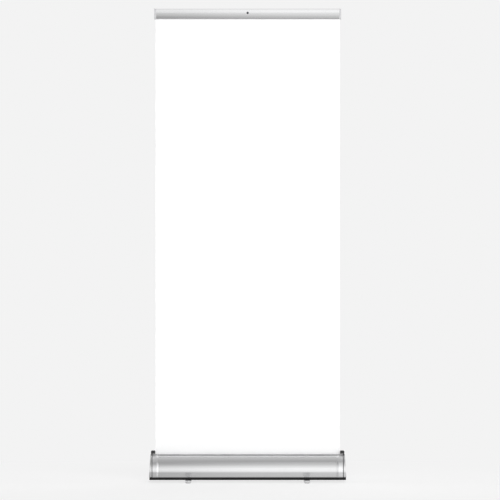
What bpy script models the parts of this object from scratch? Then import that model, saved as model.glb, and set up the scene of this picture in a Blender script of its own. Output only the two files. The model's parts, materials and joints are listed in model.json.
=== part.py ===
"""Roll-up banner stand, fully raised.

A long cassette stands on two swing-out feet and holds a spring roller. The
banner comes up through the slot in the cassette's top, and a rounded rail
holds its upper edge. A three-section telescopic pole behind the banner stands
in a socket in the cassette and carries the rail on its tip.

Metres, +Z up. The origin is on the floor under the middle of the stand, the
front of the banner faces -Y, and the width runs along X. Dimensions below are
in millimetres and are scaled by MM.
"""
import math

import bmesh
import bpy
from mathutils import Vector

MM = 0.001

# ---- driving dimensions (mm) -------------------------------------------------
BANNER_W = 850.0            # banner width
BANNER_T = 0.5              # banner thickness
BANNER_Y = 0.55             # the banner's plane

# cassette
SHELL_HALF = 410.0          # half length of the extruded shell
SHELL_TOP = 127.0
SHELL_BOTTOM = 22.3
SHELL_WALL = 1.8
BELLY_Z = 52.0              # height of the widest point
BELLY_HALF = 58.0           # half depth at the widest point, front
BELLY_HALF_REAR = 55.0      # and at the rear
CREASE_Z = 45.5             # where the face turns in under the belly
SLOT_HALF = 9.0             # half width of the slot between the shell's lips
TRIM_REACH = 28.0           # how far the front slot trim laps over the shell
TRIM_REACH_REAR = 16.0      # the rear one stops short of the pole
LIP_HALF = 2.4              # half width left between the slot trims
PLATE_BOTTOM = 10.0
PLATE_HALF_Y = 50.0
COLLAR_END = 438.6
END_PLATE = (438.9, 441.5)
CAP_START = 441.8
CAP_TOP_X = 448.0           # the end cap leans: narrower above, wider below
CAP_LOW_X = 454.5
EAR_IN = 426.0
EAR_OUT = 445.8
EAR_TOP = 144.5

# winding roller
ROLLER_Y = -19.0
ROLLER_Z = 62.0
ROLLER_R = 16.0
ROLL_R = 19.0               # over the turns of banner left on the roller

# top rail
RAIL_BOTTOM = 2133.0
RAIL_TOP = 2180.6
RAIL_FLAT_Z = 2168.0        # the front is flat above this height and tucks in below it
RAIL_HALF = 425.0
RAIL_FRONT = 12.5
RAIL_REAR = 11.0
RAIL_WALL = 1.6
RAIL_CAP_IN = 422.0
RAIL_CAP_OUT = 431.0
CATCH_Z = 2162.0            # height of the catch screw

# telescopic pole
POLE_Y = 31.0
LOWER_R, LOWER_IN, LOWER_Z = 12.5, 11.3, (31.3, 790.0)
MIDDLE_R, MIDDLE_IN, MIDDLE_Z = 11.0, 9.8, (700.0, 1465.0)
TOP_R, TOP_IN, TOP_Z = 9.5, 8.4, (1375.0, 2118.0)

# feet
FOOT_X = 273.0
FOOT_HALF = 170.0
FOOT_W = 27.0
FOOT_Z = (2.3, 9.3)

GAP = 0.3

# ---- clean scene and collections --------------------------------------------
for old in list(bpy.data.objects):
    bpy.data.objects.remove(old, do_unlink=True)

PARTS = bpy.data.collections.new("roll_up_banner_stand")
CUTTERS = bpy.data.collections.new("cutters")
bpy.context.scene.collection.children.link(PARTS)
bpy.context.scene.collection.children.link(CUTTERS)

# finish: (colour, roughness, metallic)
ALUMINIUM = ((0.66, 0.67, 0.68), 0.32, 1.0)
POLISHED = ((0.74, 0.75, 0.76), 0.16, 1.0)
STEEL = ((0.55, 0.56, 0.58), 0.28, 1.0)
BLACK = ((0.018, 0.018, 0.020), 0.45, 0.0)
BLACK_STEEL = ((0.03, 0.03, 0.032), 0.38, 1.0)
GREY = ((0.19, 0.19, 0.20), 0.50, 0.0)
RUBBER = ((0.012, 0.012, 0.012), 0.85, 0.0)
FILM = ((0.90, 0.90, 0.90), 0.55, 0.0)
WHITE = ((0.80, 0.80, 0.80), 0.45, 0.0)


def paint(ob, finish):
    colour, roughness, metallic = finish
    mat = bpy.data.materials.new(ob.name + "_finish")
    mat.use_nodes = True
    bsdf = mat.node_tree.nodes["Principled BSDF"]
    bsdf.inputs["Base Color"].default_value = (*colour, 1.0)
    bsdf.inputs["Roughness"].default_value = roughness
    bsdf.inputs["Metallic"].default_value = metallic
    mat.diffuse_color = (*colour, 1.0)
    ob.data.materials.clear()
    ob.data.materials.append(mat)
    return ob


def as_cutter(ob):
    ob.hide_render = True
    ob.display_type = "WIRE"
    return ob


def smooth(ob, angle=35.0):
    ob.data.shade_smooth()
    ob.data.set_sharp_from_angle(angle=math.radians(angle))
    return ob


def mesh_object(name, bm, coll):
    me = bpy.data.meshes.new(name)
    bm.to_mesh(me)
    bm.free()
    ob = bpy.data.objects.new(name, me)
    coll.objects.link(ob)
    if coll is CUTTERS:
        as_cutter(ob)
    return ob


def bevel(ob, width, segments=2, angle=40.0):
    mod = ob.modifiers.new("edge_round", "BEVEL")
    mod.width = width * MM
    mod.segments = segments
    mod.limit_method = "ANGLE"
    mod.angle_limit = math.radians(angle)
    return ob


def box(name, lo, hi, coll=None, round_edges=0.0, segments=2):
    """A block between two corners."""
    lo, hi = Vector(lo), Vector(hi)
    bm = bmesh.new()
    bmesh.ops.create_cube(bm, size=1.0)
    bmesh.ops.scale(bm, vec=(hi - lo) * MM, verts=bm.verts)
    ob = mesh_object(name, bm, coll or PARTS)
    ob.location = (lo + hi) / 2 * MM
    if round_edges:
        bevel(ob, round_edges, segments)
    return ob


TURN = {"Z": (0.0, 0.0, 0.0), "X": (0.0, math.pi / 2, 0.0), "-X": (0.0, -math.pi / 2, 0.0),
        "Y": (-math.pi / 2, 0.0, 0.0), "-Y": (math.pi / 2, 0.0, 0.0)}


def rod(name, radius, start, length, axis="Z", sides=24, coll=None):
    """A plain round (or six-sided) bar that starts at a point and runs along an axis."""
    bm = bmesh.new()
    bmesh.ops.create_cone(bm, cap_ends=True, segments=sides, radius1=radius * MM,
                          radius2=radius * MM, depth=length * MM)
    bmesh.ops.translate(bm, verts=bm.verts, vec=(0, 0, length / 2 * MM))
    ob = mesh_object(name, bm, coll or PARTS)
    ob.location = Vector(start) * MM
    ob.rotation_euler = TURN[axis]
    return ob


def turned(name, profile, at, axis="Z", steps=24, ring=False, coll=None):
    """A turned piece. The profile's (radius, height) points run down the outer side."""
    bm = bmesh.new()
    verts = [bm.verts.new((r * MM, 0.0, h * MM)) for r, h in profile]
    for a, b in zip(verts, verts[1:]):
        bm.edges.new((a, b))
    if ring:
        bm.edges.new((verts[-1], verts[0]))
    ob = mesh_object(name, bm, coll or PARTS)
    ob.location = Vector(at) * MM
    ob.rotation_euler = TURN[axis]
    mod = ob.modifiers.new("turn", "SCREW")
    mod.axis = "Z"
    mod.angle = 2 * math.pi
    mod.steps = steps
    mod.render_steps = steps
    mod.use_merge_vertices = True
    mod.merge_threshold = 0.00001
    mod.use_smooth_shade = True
    return ob


def curve_to_mesh(ob, coll):
    """The curve's solid as a welded mesh object in the curve's place."""
    bpy.context.view_layer.update()
    graph = bpy.context.evaluated_depsgraph_get()
    me = bpy.data.meshes.new_from_object(ob.evaluated_get(graph))
    bm = bmesh.new()
    bm.from_mesh(me)
    bmesh.ops.remove_doubles(bm, verts=bm.verts, dist=1e-6)
    bmesh.ops.recalc_face_normals(bm, faces=bm.faces)
    bm.to_mesh(me)
    bm.free()
    new = bpy.data.objects.new("solid", me)
    coll.objects.link(new)
    new.matrix_world = ob.matrix_world.copy()
    name = ob.name
    bpy.data.objects.remove(ob, do_unlink=True)
    new.name = name
    me.name = name
    if coll is CUTTERS:
        as_cutter(new)
    return new


FACE = {"X": (math.pi / 2, 0.0, math.pi / 2), "Y": (math.pi / 2, 0.0, 0.0), "Z": (0.0, 0.0, 0.0)}


def extruded(name, outline, lo, hi, along="X", holes=(), coll=None):
    """A flat outline drawn out from lo to hi. Along X the outline is (y, z), along Y
    it is (x, z), and along Z it is (x, y)."""
    cu = bpy.data.curves.new(name, "CURVE")
    cu.dimensions = "2D"
    cu.fill_mode = "BOTH"
    cu.extrude = (hi - lo) / 2 * MM
    for loop in [outline, *holes]:
        spline = cu.splines.new("POLY")
        spline.points.add(len(loop) - 1)
        for point, (a, b) in zip(spline.points, loop):
            point.co = (a * MM, b * MM, 0.0, 1.0)
        spline.use_cyclic_u = True
    ob = bpy.data.objects.new(name, cu)
    bpy.context.scene.collection.objects.link(ob)
    centre = (lo + hi) / 2 * MM
    ob.location = {"X": (centre, 0, 0), "Y": (0, centre, 0), "Z": (0, 0, centre)}[along]
    ob.rotation_euler = FACE[along]
    return curve_to_mesh(ob, coll or PARTS)


def folded_sheet(name, sections, wall, coll=None):
    """A profile drawn along X and given a wall inwards. sections is a list of
    (x, [(y, z), ...]), each with the same number of points."""
    bm = bmesh.new()
    x0, first = sections[0]
    verts = [bm.verts.new((x0 * MM, y * MM, z * MM)) for y, z in first]
    edges = [bm.edges.new(pair) for pair in zip(verts, verts[1:])]
    for x, section in sections[1:]:
        out = bmesh.ops.extrude_edge_only(bm, edges=edges)["geom"]
        edges = [g for g in out if isinstance(g, bmesh.types.BMEdge)]
        fresh = [g for g in out if isinstance(g, bmesh.types.BMVert)]
        # each new point lies on the old point it grew from until it is moved
        bm.verts.ensure_lookup_table()
        order = {}
        for i, old in enumerate(verts):
            for g in fresh:
                if (g.co - old.co).length < 1e-9 and g not in order.values():
                    order[i] = g
                    break
        verts = [order[i] for i in range(len(verts))]
        for v, (y, z) in zip(verts, section):
            v.co = (x * MM, y * MM, z * MM)
        keep = set(verts)
        edges = [e for e in edges if e.verts[0] in keep and e.verts[1] in keep]
    bmesh.ops.recalc_face_normals(bm, faces=bm.faces)
    bm.normal_update()
    ys = [v.co.y for v in bm.verts]
    zs = [v.co.z for v in bm.verts]
    middle = Vector((0, (min(ys) + max(ys)) / 2, (min(zs) + max(zs)) / 2))
    score = 0.0
    for f in bm.faces:
        away = f.calc_center_median() - middle
        away.x = 0.0
        score += f.normal.dot(away) * f.calc_area()
    if score < 0:
        bmesh.ops.reverse_faces(bm, faces=bm.faces)
    ob = mesh_object(name, bm, coll or PARTS)
    mod = ob.modifiers.new("wall", "SOLIDIFY")
    mod.thickness = wall * MM
    mod.offset = -1.0
    mod.use_even_offset = True
    mod.use_quality_normals = True
    return ob


def boolean(ob, other, operation="DIFFERENCE"):
    mod = ob.modifiers.new("cut" if operation == "DIFFERENCE" else "joined", "BOOLEAN")
    mod.operation = operation
    mod.object = other
    mod.solver = "EXACT"
    return ob


def round_outline(a, b, radius, count=24):
    return [(a + radius * math.cos(2 * math.pi * i / count),
             b + radius * math.sin(2 * math.pi * i / count)) for i in range(count)]


def stadium(half_length, half_width, count=8):
    """A long outline with round ends, long way along its second number."""
    pts = []
    for i in range(count + 1):
        t = math.pi * i / count
        pts.append((half_width * math.cos(t), half_length - half_width + half_width * math.sin(t)))
    for i in range(count + 1):
        t = math.pi + math.pi * i / count
        pts.append((half_width * math.cos(t), -(half_length - half_width) + half_width * math.sin(t)))
    return pts


# ---- cassette section --------------------------------------------------------
def cassette_side(grow, belly, start, count=11):
    """One side of the cassette from the slot down to the crease, as (depth, z) with
    depth counted outwards: a quarter of an ellipse, then straight to the crease."""
    inner = 7.0
    half = belly - inner + grow
    high = SHELL_TOP - BELLY_Z + grow
    first = math.asin(max(0.0, (start - inner)) / half)
    pts = []
    for i in range(count + 1):
        t = first + (math.pi / 2 - first) * i / count
        pts.append((inner + half * math.sin(t), BELLY_Z + high * math.cos(t)))
    pts.append((belly + grow, CREASE_Z))
    return pts


def cassette_path(grow=0.0, bottom=SHELL_BOTTOM, foot_in=6.5, front_start=SLOT_HALF, rear_start=SLOT_HALF):
    """From the front slot lip round the front, the underside and the rear to the rear lip."""
    front = cassette_side(grow, BELLY_HALF, front_start)
    rear = cassette_side(grow, BELLY_HALF_REAR, rear_start)
    low_front = [(BELLY_HALF + grow - 4.6, bottom + 3.2), (BELLY_HALF + grow - foot_in, bottom)]
    low_rear = [(BELLY_HALF_REAR + grow - 4.2, bottom + 3.2), (BELLY_HALF_REAR + grow - foot_in, bottom)]
    path = [(-y, z) for y, z in front + low_front]
    path += [(y, z) for y, z in reversed(rear + low_rear)]
    return path


def cassette_outline(grow=0.0, bottom=PLATE_BOTTOM, inset=0.0):
    """The closed section of the end pieces, down to the underside of the black plate."""
    front = cassette_side(grow - inset, BELLY_HALF, 7.0)
    rear = cassette_side(grow - inset, BELLY_HALF_REAR, 7.0)
    front_low = [(BELLY_HALF + grow - inset - 4.4, 25.0), (BELLY_HALF + grow - inset - 5.6, bottom + 1.6),
                 (BELLY_HALF + grow - inset - 7.4, bottom)]
    rear_low = [(BELLY_HALF_REAR + grow - inset - 4.0, 25.0), (BELLY_HALF_REAR + grow - inset - 5.0, bottom + 1.6),
                (BELLY_HALF_REAR + grow - inset - 6.8, bottom)]
    path = [(-y, z) for y, z in front + front_low]
    path += [(y, z) for y, z in reversed(rear + rear_low)]
    return path


# ---- cassette ----------------------------------------------------------------
base_shell = folded_sheet("base_shell", [(-SHELL_HALF, cassette_path()), (SHELL_HALF, cassette_path())],
                          SHELL_WALL)
boolean(base_shell, rod("socket_hole", 16.0, (0, POLE_Y, 60), 80, coll=CUTTERS, sides=24))
for side in (-1, 1):
    boolean(base_shell, rod("web_bolt_hole", 4.4, (side * FOOT_X, 0, 15), 15, coll=CUTTERS, sides=16))
    boolean(base_shell, rod("web_screw_hole", 2.2, (side * 23.0, POLE_Y, 15), 15, coll=CUTTERS, sides=12))
smooth(base_shell, 22)
paint(base_shell, ALUMINIUM)

base_plate = box("base_plate", (-452.5, -PLATE_HALF_Y, PLATE_BOTTOM), (452.5, PLATE_HALF_Y, 22.0))
for side in (-1, 1):
    boolean(base_plate, rod("plate_bolt_hole", 4.4, (side * FOOT_X, 0, 5), 25, coll=CUTTERS, sides=16))
bevel(base_plate, 0.8, 1)
paint(base_plate, BLACK)


def slot_trim(name, sign, belly, reach):
    """Plastic trim on the shell's lip: a rounded nose by the banner with a short skirt that
    guides it, a tongue under the lip, and a wing that laps over the shell's top."""
    def above(y, off):
        return BELLY_Z + (SHELL_TOP - BELLY_Z) * math.sqrt(1.0 - ((y - 7.0) / (belly - 7.0)) ** 2) + off

    wing = [8.6 + (reach - 8.6) * i / 5 for i in range(6)]
    pts = [(y, above(y, 0.45)) for y in reversed(wing)]
    pts += [(8.2, 126.9), (8.2, 123.7), (11.5, 123.4), (11.5, 121.9), (3.8, 121.9), (3.8, 116.0), (LIP_HALF, 116.0),
            (LIP_HALF, 126.2), (3.1, 127.5), (5.2, 128.0)]
    pts += [(y, above(y, 1.15)) for y in wing[:-1]]
    pts += [(reach - 0.1, above(reach, 1.05)), (reach + 0.3, above(reach, 0.75))]
    ob = extruded(name, [(sign * y, z) for y, z in pts], -COLLAR_END + 0.3, COLLAR_END - 0.3)
    return paint(ob, GREY)


slot_trim("front_slot_trim", -1, BELLY_HALF, TRIM_REACH)
slot_trim("rear_slot_trim", 1, BELLY_HALF_REAR, TRIM_REACH_REAR)

# collars: polished sleeves with a soft bead round them
COLLAR_STATIONS = [(410.3, 0.6), (414.0, 2.0), (419.0, 3.0), (424.0, 2.1), (431.0, 0.9), (COLLAR_END, 0.5)]
for label, sign in (("left", -1), ("right", 1)):
    sections = [(sign * x, cassette_path(g, front_start=TRIM_REACH + 2.6, rear_start=TRIM_REACH_REAR + 2.0))
                for x, g in COLLAR_STATIONS]
    if sign < 0:
        sections.reverse()
    collar = folded_sheet(label + "_collar", sections, 2.2)
    smooth(collar, 40)
    paint(collar, POLISHED)

    # black end plate with the ear that stands beside the banner
    lo, hi = sorted((sign * END_PLATE[0], sign * END_PLATE[1]))
    plate = extruded(label + "_end_plate", cassette_outline(0.7, SHELL_BOTTOM), lo, hi)
    ear = [(END_PLATE[1] - 0.4, 116.0), (END_PLATE[1] - 0.4, 129.0), (EAR_OUT - 1.0, 129.0), (EAR_OUT, 130.0),
           (EAR_OUT, EAR_TOP - 6.0)]
    for i in range(1, 7):
        t = math.radians(90 * i / 6)
        ear.append((EAR_OUT - 6.0 + 6.0 * math.cos(t), EAR_TOP - 6.0 + 6.0 * math.sin(t)))
    ear += [(EAR_IN + 3.0, EAR_TOP), (EAR_IN + 0.9, EAR_TOP - 0.9), (EAR_IN, EAR_TOP - 3.0), (EAR_IN, 131.0), (EAR_IN + 1.5, 129.8),
            (END_PLATE[0] + 0.4, 129.8), (END_PLATE[0] + 0.4, 116.0)]
    horn = extruded(label + "_horn", [(sign * x, z) for x, z in ear], -13.0, 13.0, along="Y", coll=CUTTERS)
    boolean(plate, horn, "UNION")
    boolean(plate, rod(label + "_axle_hole", 4.4, (sign * 436.0, ROLLER_Y, ROLLER_Z), 8.0,
                       axis="X" if sign > 0 else "-X", coll=CUTTERS, sides=16))
    paint(plate, BLACK)

    # outer end cap, which leans out towards its foot
    lo, hi = sorted((sign * CAP_START, sign * CAP_LOW_X))
    cap = extruded(label + "_end_cap", cassette_outline(0.9, SHELL_BOTTOM), lo, hi)
    spin = cap.matrix_world.copy()
    back = spin.inverted()
    for v in cap.data.vertices:
        p = spin @ v.co
        if abs(p.x) > (CAP_START + 1.0) * MM:
            share = (p.z / MM - SHELL_BOTTOM) / (SHELL_TOP - SHELL_BOTTOM)
            share = min(1.0, max(0.0, share))
            p.x = sign * (CAP_LOW_X + (CAP_TOP_X - CAP_LOW_X) * share ** 0.8) * MM
            v.co = back @ p
    bevel(cap, 1.6, 2, 50)
    for where, z in (("upper", 104.0), ("lower", 31.0)):
        share = (z - SHELL_BOTTOM) / (SHELL_TOP - SHELL_BOTTOM)
        face = CAP_LOW_X + (CAP_TOP_X - CAP_LOW_X) * share ** 0.8
        away = "X" if sign > 0 else "-X"
        seat = face - 2.6
        boolean(cap, rod(label + where + "_seat", 4.7, (sign * seat, 0, z), 12.0, axis=away, coll=CUTTERS, sides=20))
        boolean(cap, rod(label + where + "_cap_hole", 2.3, (sign * 438.0, 0, z), 18.0, axis=away, coll=CUTTERS, sides=12))
        boolean(plate, rod(label + where + "_plate_hole", 2.3, (sign * 436.0, 0, z), 8.0, axis=away, coll=CUTTERS, sides=12))
        screw = turned(label + "_cap_screw_" + where,
                       [(0.0, 2.3), (2.2, 2.25), (3.5, 1.7), (4.1, 0.8), (4.1, 0.3), (2.0, 0.3), (2.0, -16.0),
                        (1.2, -17.5), (0.0, -17.5)],
                       (sign * seat, 0, z), axis=away, steps=12)
        boolean(screw, rod(label + where + "_key", 1.7, (sign * (seat + 1.0), 0, z), 3.0, axis=away, sides=6, coll=CUTTERS))
        paint(screw, STEEL)
    smooth(cap, 40)
    paint(cap, ALUMINIUM)

# fixed axle of the roller, with a retaining ring on the right
axle = rod("roller_axle", 4.0, (-441.2, ROLLER_Y, ROLLER_Z), 882.4, axis="X", sides=20)
smooth(axle)
paint(axle, STEEL)
ring = turned("axle_retaining_ring", [(7.0, 0.6), (7.0, -0.6), (4.3, -0.6), (4.3, 0.6)],
              (432.0, ROLLER_Y, ROLLER_Z), axis="X", steps=20, ring=True)
paint(ring, BLACK_STEEL)

# pole socket, screwed down to the shell's floor
socket = turned("pole_socket", [(0.0, 27.4), (12.8, 27.4), (12.8, 120.2), (13.6, 121.0), (14.7, 121.0), (15.5, 120.2),
                                (15.5, 24.4), (0.0, 24.4)], (0, POLE_Y, 0), steps=24)
flange = extruded("socket_flange", [(-y, x) for x, y in stadium(30.0, 13.0, 6)], 24.6, 27.2, along="Z", coll=CUTTERS)
flange.location.y = POLE_Y * MM
boolean(socket, flange, "UNION")
for label, sign in (("left", -1), ("right", 1)):
    boolean(socket, rod("flange_hole", 2.3, (sign * 23.0, POLE_Y, 20), 12, coll=CUTTERS, sides=12))
    screw = turned(label + "_socket_screw", [(0.0, 29.8), (2.6, 29.6), (3.7, 28.8), (3.9, 27.5), (1.9, 27.5), (1.9, 22.8),
                                             (0.0, 22.4)], (sign * 23.0, POLE_Y, 0), steps=12)
    paint(screw, STEEL)
paint(socket, BLACK)

# ---- winding roller ----------------------------------------------------------
roller_tube = turned("roller_tube", [(ROLLER_R, 424.7), (ROLLER_R, -424.7), (14.5, -424.7), (14.5, 424.7)],
                     (0, ROLLER_Y, ROLLER_Z), axis="X", steps=28, ring=True)
paint(roller_tube, ALUMINIUM)
for label, sign in (("left", -1), ("right", 1)):
    plug = turned(label + "_roller_plug",
                  [(17.4, 428.3), (17.4, 425.3), (14.2, 425.3), (14.2, 404.0), (4.3, 404.0), (4.3, 428.3)],
                  (0, ROLLER_Y, ROLLER_Z), axis="X" if sign > 0 else "-X", steps=20, ring=True)
    paint(plug, BLACK)

turns, per_turn = 9, 9
coil = bpy.data.curves.new("winding_spring", "CURVE")
coil.dimensions = "3D"
coil.bevel_depth = 1.1 * MM
coil.bevel_resolution = 1
coil.use_fill_caps = True
spline = coil.splines.new("POLY")
spline.points.add(turns * per_turn)
for i, point in enumerate(spline.points):
    t = 2 * math.pi * i / per_turn
    along = -396.0 + 250.0 * i / (turns * per_turn)
    point.co = (along * MM, 8.4 * math.cos(t) * MM, 8.4 * math.sin(t) * MM, 1.0)
spring_curve = bpy.data.objects.new("winding_spring", coil)
bpy.context.scene.collection.objects.link(spring_curve)
spring_curve.location = (0, ROLLER_Y * MM, ROLLER_Z * MM)
spring = curve_to_mesh(spring_curve, PARTS)
smooth(spring, 60)
paint(spring, STEEL)

banner_roll = turned("banner_roll", [(ROLL_R, 425.0), (ROLL_R, -425.0), (ROLLER_R + GAP, -425.0), (ROLLER_R + GAP, 425.0)],
                     (0, ROLLER_Y, ROLLER_Z), axis="X", steps=28, ring=True)
paint(banner_roll, FILM)

# ---- banner ------------------------------------------------------------------
banner = box("banner_sheet", (-BANNER_W / 2, BANNER_Y - BANNER_T / 2, ROLLER_Z),
             (BANNER_W / 2, BANNER_Y + BANNER_T / 2, RAIL_BOTTOM + 3.6))
paint(banner, FILM)


# ---- top rail ----------------------------------------------------------------
def rail_path(grow=0.0, lip=1.5, count=9):
    """From the front lip of the slot round the tucked-in lower front, up the flat upper
    front, over the top and down the flat rear to the rear lip."""
    high = RAIL_FLAT_Z - RAIL_BOTTOM + grow
    deep = RAIL_FRONT + grow
    first = math.asin((lip - BANNER_Y) / deep)
    pts = []
    for i in range(count + 1):
        t = first + (math.pi / 2 - first) * i / count
        pts.append((-deep * math.sin(t), RAIL_FLAT_Z - high * math.cos(t)))
    rear, top, bottom = RAIL_REAR + grow, RAIL_TOP + grow, RAIL_BOTTOM - grow
    r = 2.0
    for i in range(5):
        t = math.radians(180 - 90 * i / 4)
        pts.append((-deep + r + r * math.cos(t), top - r + r * math.sin(t)))
    for i in range(5):
        t = math.radians(90 - 90 * i / 4)
        pts.append((rear - r + r * math.cos(t), top - r + r * math.sin(t)))
    for i in range(4):
        t = math.radians(-90 * i / 3)
        pts.append((rear - 3.0 + 3.0 * math.cos(t), bottom + 3.0 + 3.0 * math.sin(t)))
    pts.append((lip + BANNER_Y, bottom))
    return pts


rail = folded_sheet("rail_profile", [(-RAIL_HALF, rail_path()), (RAIL_HALF, rail_path())], RAIL_WALL)
boolean(rail, rod("rail_screw_hole", 2.3, (0, -30, CATCH_Z), 60, axis="Y", coll=CUTTERS, sides=16))
smooth(rail, 22)
paint(rail, ALUMINIUM)

for label, sign in (("left", -1), ("right", 1)):
    lo, hi = sorted((sign * RAIL_CAP_IN, sign * RAIL_CAP_OUT))
    cap = extruded(label + "_rail_cap", rail_path(0.9), lo, hi)
    bevel(cap, 1.2, 2, 50)
    lo, hi = sorted((sign * (RAIL_CAP_IN - 5.0), sign * (RAIL_HALF + GAP)))
    boolean(cap, extruded(label + "_cap_pocket", rail_path(0.3), lo, hi, coll=CUTTERS))
    boolean(cap, box(label + "_cap_slot", (lo, -1.3, RAIL_BOTTOM - 10), (hi, 2.4, RAIL_BOTTOM + 6), coll=CUTTERS))
    smooth(cap, 30)
    paint(cap, GREY)

keeper = box("banner_keeper", (-424.0, -3.2, RAIL_BOTTOM + 4.0), (424.0, 4.2, RAIL_BOTTOM + 8.5), round_edges=1.2)
paint(keeper, WHITE)

# the catch hangs the rail on the pole's tip
catch = extruded("pole_catch", [(11.4, 2122.3), (48.0, 2122.3), (49.5, 2124.0), (49.5, 2145.0), (44.0, 2151.0),
                                (22.0, 2152.0), (18.5, 2156.0), (18.5, 2172.0), (17.0, 2174.0), (11.4, 2174.0)],
                 -16.0, 16.0)
bevel(catch, 1.5, 2, 60)
boolean(catch, rod("catch_bore", 7.4, (0, POLE_Y, 2110.0), 35.5, coll=CUTTERS, sides=24))
boolean(catch, rod("catch_screw_hole", 2.3, (0, 0, CATCH_Z), 40, axis="Y", coll=CUTTERS, sides=16))
paint(catch, BLACK)

catch_screw = turned("catch_screw", [(0.0, 3.0), (2.4, 2.9), (4.2, 2.3), (5.2, 1.1), (5.2, 0.0), (2.0, 0.0),
                                     (2.0, -35.2), (1.4, -36.0), (0.0, -36.0)],
                     (0, -(RAIL_FRONT + 0.3), CATCH_Z), axis="-Y", steps=16)
boolean(catch_screw, rod("catch_key", 1.8, (0, -(RAIL_FRONT + 0.3) - 1.6, CATCH_Z), 3.0, axis="-Y", sides=6, coll=CUTTERS))
paint(catch_screw, BLACK_STEEL)
nut = rod("catch_nut", 4.0, (0, 18.8, CATCH_Z), 3.2, axis="Y", sides=6)
boolean(nut, rod("nut_thread", 2.3, (0, 15, CATCH_Z), 12, axis="Y", coll=CUTTERS, sides=16))
paint(nut, STEEL)


# ---- pole --------------------------------------------------------------------
def pole_tube(name, outer, inner, span):
    ob = turned(name, [(outer - 0.3, span[1]), (outer, span[1] - 0.3), (outer, span[0] + 0.3), (outer - 0.3, span[0]),
                       (inner, span[0]), (inner, span[1])], (0, POLE_Y, 0), steps=24, ring=True)
    return paint(ob, ALUMINIUM)


pole_tube("pole_lower_tube", LOWER_R, LOWER_IN, LOWER_Z)
pole_tube("pole_middle_tube", MIDDLE_R, MIDDLE_IN, MIDDLE_Z)
pole_tube("pole_top_tube", TOP_R, TOP_IN, TOP_Z)


def bush(name, flange_r, spigot_r, tube_end):
    """A plastic guide in the lower end of a sliding tube."""
    ob = turned(name, [(0.0, tube_end + 12.0), (spigot_r - 1.0, tube_end + 12.0), (spigot_r, tube_end + 11.0),
                       (spigot_r, tube_end - GAP), (flange_r, tube_end - GAP), (flange_r, tube_end - 11.0),
                       (flange_r - 1.0, tube_end - 12.0), (0.0, tube_end - 12.0)], (0, POLE_Y, 0), steps=16)
    return paint(ob, BLACK)


foot_plug = turned("pole_foot_plug", [(0.0, 44.0), (10.0, 44.0), (10.9, 43.0), (10.9, LOWER_Z[0] - GAP),
                                     (12.4, LOWER_Z[0] - GAP), (12.4, 28.4), (11.7, 27.7), (0.0, 27.7)],
                  (0, POLE_Y, 0), steps=16)
paint(foot_plug, BLACK)
bush("middle_bush", 10.95, 9.45, MIDDLE_Z[0])
bush("top_bush", 9.45, 8.05, TOP_Z[0])

pole_tip = turned("pole_tip", [(0.0, 2145.0), (5.8, 2145.0), (7.0, 2143.4), (7.0, 2122.0), (10.2, 2122.0), (10.2, 2118.3),
                               (8.05, 2118.3), (8.05, 2104.0), (7.2, 2103.0), (0.0, 2103.0)], (0, POLE_Y, 0), steps=18)
paint(pole_tip, BLACK)


def lock_collar(name, radius, lower_bore, upper_bore, span, step_z):
    """A twist lock: a lobed grip round the end of the outer tube, with one wider
    rib that shows which way it is turned."""
    lobes = 10
    outline = []
    for i in range(lobes * 4):
        t = 2 * math.pi * i / (lobes * 4)
        r = radius + 0.75 * math.cos(lobes * t)
        outline.append((r * math.cos(t), r * math.sin(t)))
    grip = extruded(name, outline, span[0], span[1], along="Z")
    grip.location.y = POLE_Y * MM
    bevel(grip, 1.2, 1, 60)
    rib = box(name + "_rib", (-3.0, POLE_Y + radius - 3.0, span[0] + 6.0),
              (3.0, POLE_Y + radius + 2.6, span[1] - 6.0), coll=CUTTERS, round_edges=1.0, segments=1)
    boolean(grip, rib, "UNION")
    boolean(grip, rod(name + "_bore", upper_bore, (0, POLE_Y, span[0] - 5), span[1] - span[0] + 10, coll=CUTTERS, sides=24))
    boolean(grip, rod(name + "_seat", lower_bore, (0, POLE_Y, span[0] - 5), step_z - span[0] + 5, coll=CUTTERS, sides=24))
    return paint(smooth(grip, 40), BLACK)


lower_lock = lock_collar("lower_lock_collar", 17.0, LOWER_R + GAP, MIDDLE_R + GAP, (744.0, 806.0), LOWER_Z[1] + GAP)
upper_lock = lock_collar("upper_lock_collar", 15.3, MIDDLE_R + GAP, TOP_R + GAP, (1420.0, 1479.0), MIDDLE_Z[1] + GAP)

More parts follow.
